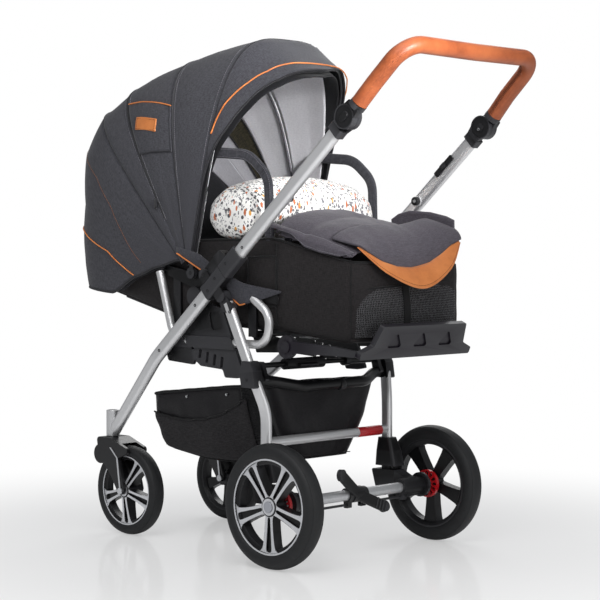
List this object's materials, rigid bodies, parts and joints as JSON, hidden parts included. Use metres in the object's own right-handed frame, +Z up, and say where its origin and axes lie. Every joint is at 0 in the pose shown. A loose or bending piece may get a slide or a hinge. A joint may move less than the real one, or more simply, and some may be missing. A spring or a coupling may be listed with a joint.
{
  "type": "baby stroller",
  "caption": "Pram with a folding tube frame, soft carry bag under a folding hood, swivelling front wheels, footrest, shopping basket and tilting handlebar.",
  "frame": {"origin": "on the ground under the middle of the pram's outline", "axes": "+Z up, +Y towards the person who pushes, +X to the left of that person's view from the front, which is the side named left"},
  "size_m": [0.5972, 1.1532, 1.1946],
  "materials": {
    "silver_tube": "anodised satin",
    "black_plastic": "fine moulded grain",
    "black_metal": "powder coat",
    "wheel_rim": "two tone, bright blade faces",
    "tyre_rubber": "fine tread",
    "red_disc": "gloss",
    "bright_steel": "satin",
    "grip_leather": "wrapped and stitched",
    "hood_fabric": "melange weave",
    "bag_fabric": "melange weave",
    "apron_fabric": "melange weave, leather trim",
    "print_fabric": "small leaf print",
    "basket_fabric": "fabric with mesh inserts",
    "strap_fabric": "padded strap"
  },
  "bodies": {
    "front_frame": {"front_leg_left": "silver_tube", "front_leg_right": "silver_tube", "lower_knuckle_left": "black_plastic", "lower_knuckle_right": "black_plastic", "side_plate_left": "black_plastic", "side_plate_right": "black_plastic", "seat_carrier_left": "silver_tube", "seat_carrier_right": "silver_tube", "basket": "basket_fabric"},
    "push_frame": {"push_tube_left": "silver_tube", "push_tube_right": "silver_tube", "upper_knuckle_left": "black_plastic", "upper_knuckle_right": "black_plastic", "handle_joint_left": "black_plastic", "handle_joint_right": "black_plastic"},
    "handlebar": {"handle_hub_left": "black_plastic", "handle_hub_right": "black_plastic", "handle_grip": "grip_leather"},
    "rear_frame": {"rear_leg_left": "silver_tube", "rear_leg_right": "silver_tube", "rear_leg_brackets": "black_plastic", "rear_bar": "black_metal", "rear_crossbar": "silver_tube", "suspension_cups": "black_plastic"},
    "fold_lock_rod": {"fold_lock": "black_plastic"},
    "rear_axle": {"axle_blocks": "black_plastic", "axle_tube": "silver_tube"},
    "pedal": {"brake_pedal": "black_plastic"},
    "seat_unit": {"seat_frame": "black_metal", "seat_pan": "black_plastic", "carry_bag": "bag_fabric", "apron": "apron_fabric", "pillow": "print_fabric", "carry_handle_left": "strap_fabric", "carry_handle_right": "strap_fabric", "hood_rear": "hood_fabric"},
    "footrest_unit": {"footrest": "black_plastic"},
    "middle_bow": {"hood_bow_middle": "black_metal", "hood_panel_middle": "hood_fabric"},
    "front_bow": {"hood_bow_front": "black_metal", "hood_panel_front": "hood_fabric"},
    "button_left": {"handle_button_left": "black_plastic"},
    "latch_left": {"fold_latch_left": "black_plastic"},
    "caster_left": {"caster_fork_left": "black_plastic"},
    "front_wheel_left": {"front_rim_left": "wheel_rim", "front_tyre_left": "tyre_rubber"},
    "rod_left": {"brake_rod_left": "bright_steel"},
    "rear_wheel_left": {"rear_rim_left": "wheel_rim", "rear_tyre_left": "tyre_rubber", "brake_disc_left": "red_disc"},
    "button_right": {"handle_button_right": "black_plastic"},
    "latch_right": {"fold_latch_right": "black_plastic"},
    "caster_right": {"caster_fork_right": "black_plastic"},
    "front_wheel_right": {"front_rim_right": "wheel_rim", "front_tyre_right": "tyre_rubber"},
    "rod_right": {"brake_rod_right": "bright_steel"},
    "rear_wheel_right": {"rear_rim_right": "wheel_rim", "rear_tyre_right": "tyre_rubber", "brake_disc_right": "red_disc"}
  },
  "joints": [
    {"name": "push_fold", "type": "hinge", "parent": "front_frame", "child": "push_frame", "pos_m": [0, -0.02964, 0.64107], "axis": [1, 0, 0], "range_deg": [0, 165]},
    {"name": "rear_fold", "type": "hinge", "parent": "front_frame", "child": "rear_frame", "pos_m": [0, 0.01928, 0.59303], "axis": [1, 0, 0], "range_deg": [-55.1, 0], "deforming": ["basket"]},
    {"name": "rear_suspension", "type": "slide", "parent": "rear_frame", "child": "rear_axle", "axis": [0, 0, 1], "range_m": [0, 0.008], "stiffness_N_per_m": 8000, "springref_m": -0.03},
    {"name": "handle_angle", "type": "hinge", "parent": "push_frame", "child": "handlebar", "pos_m": [0, 0.40327, 0.98029], "axis": [1, 0, 0], "range_deg": [-60, 40]},
    {"name": "fold_lock_turn", "type": "hinge", "parent": "rear_frame", "child": "fold_lock_rod", "pos_m": [0, 0.1033, 0.437], "axis": [1, 0, 0], "range_deg": [0, 35], "stiffness_Nm_per_rad": 0.5, "springref_deg": -17.19},
    {"name": "brake_pedal_rock", "type": "hinge", "parent": "rear_axle", "child": "pedal", "pos_m": [0, 0.2223, 0.1384], "axis": [1, 0, 0], "range_deg": [-20, 0]},
    {"name": "seat_lift", "type": "slide", "parent": "front_frame", "child": "seat_unit", "axis": [0, 0, 1], "range_m": [0, 0.06]},
    {"name": "footrest_hinge", "type": "hinge", "parent": "seat_unit", "child": "footrest_unit", "pos_m": [0, 0.1803, 0.482], "axis": [1, 0, 0], "range_deg": [-65, 0]},
    {"name": "hood_middle_fold", "type": "hinge", "parent": "seat_unit", "child": "middle_bow", "pos_m": [0, -0.1147, 0.644], "axis": [1, 0, 0], "range_deg": [0, 20], "deforming": ["hood_panel_middle", "hood_panel_front"]},
    {"name": "hood_front_fold", "type": "hinge", "parent": "middle_bow", "child": "front_bow", "pos_m": [0, -0.1147, 0.644], "axis": [1, 0, 0], "range_deg": [0, 17.05], "deforming": ["hood_panel_front"]},
    {"name": "button_press_left", "type": "slide", "parent": "handlebar", "child": "button_left", "axis": [-1, 0, 0], "range_m": [0, 0.003], "stiffness_N_per_m": 400, "springref_m": -0.002},
    {"name": "latch_slide_left", "type": "slide", "parent": "push_frame", "child": "latch_left", "axis": [0, 0.749, 0.6626], "range_m": [0, 0.012], "stiffness_N_per_m": 300, "springref_m": -0.008},
    {"name": "caster_swivel_left", "type": "hinge", "parent": "front_frame", "child": "caster_left", "pos_m": [0.169, -0.4357, 0.237], "axis": [0, 0, 1], "continuous": true},
    {"name": "front_wheel_spin_left", "type": "hinge", "parent": "caster_left", "child": "front_wheel_left", "pos_m": [0.169, -0.3707, 0.109], "axis": [1, 0, 0], "continuous": true},
    {"name": "rear_wheel_spin_left", "type": "hinge", "parent": "rear_axle", "child": "rear_wheel_left", "pos_m": [0.275, 0.2223, 0.1384], "axis": [1, 0, 0], "continuous": true},
    {"name": "brake_rod_slide_left", "type": "slide", "parent": "rear_axle", "child": "rod_left", "axis": [1, 0, 0], "range_m": [0, 0.0061]},
    {"name": "button_press_right", "type": "slide", "parent": "handlebar", "child": "button_right", "axis": [1, 0, 0], "range_m": [0, 0.003], "stiffness_N_per_m": 400, "springref_m": -0.002},
    {"name": "latch_slide_right", "type": "slide", "parent": "push_frame", "child": "latch_right", "axis": [0, 0.749, 0.6626], "range_m": [0, 0.012], "stiffness_N_per_m": 300, "springref_m": -0.008},
    {"name": "caster_swivel_right", "type": "hinge", "parent": "front_frame", "child": "caster_right", "pos_m": [-0.169, -0.4357, 0.237], "axis": [0, 0, 1], "continuous": true},
    {"name": "front_wheel_spin_right", "type": "hinge", "parent": "caster_right", "child": "front_wheel_right", "pos_m": [-0.169, -0.3707, 0.109], "axis": [1, 0, 0], "continuous": true},
    {"name": "rear_wheel_spin_right", "type": "hinge", "parent": "rear_axle", "child": "rear_wheel_right", "pos_m": [-0.275, 0.2223, 0.1384], "axis": [1, 0, 0], "continuous": true},
    {"name": "brake_rod_slide_right", "type": "slide", "parent": "rear_axle", "child": "rod_right", "axis": [-1, 0, 0], "range_m": [0, 0.0061]}
  ],
  "couplings": [
    {"joint": "rear_fold", "follows": "push_fold", "ratio": -0.33333},
    {"joint": "hood_front_fold", "follows": "hood_middle_fold", "ratio": 0.85},
    {"joint": "brake_rod_slide_left", "follows": "brake_pedal_rock", "m_per_rad": -0.017189},
    {"joint": "brake_rod_slide_right", "follows": "brake_pedal_rock", "m_per_rad": -0.017189}
  ]
}
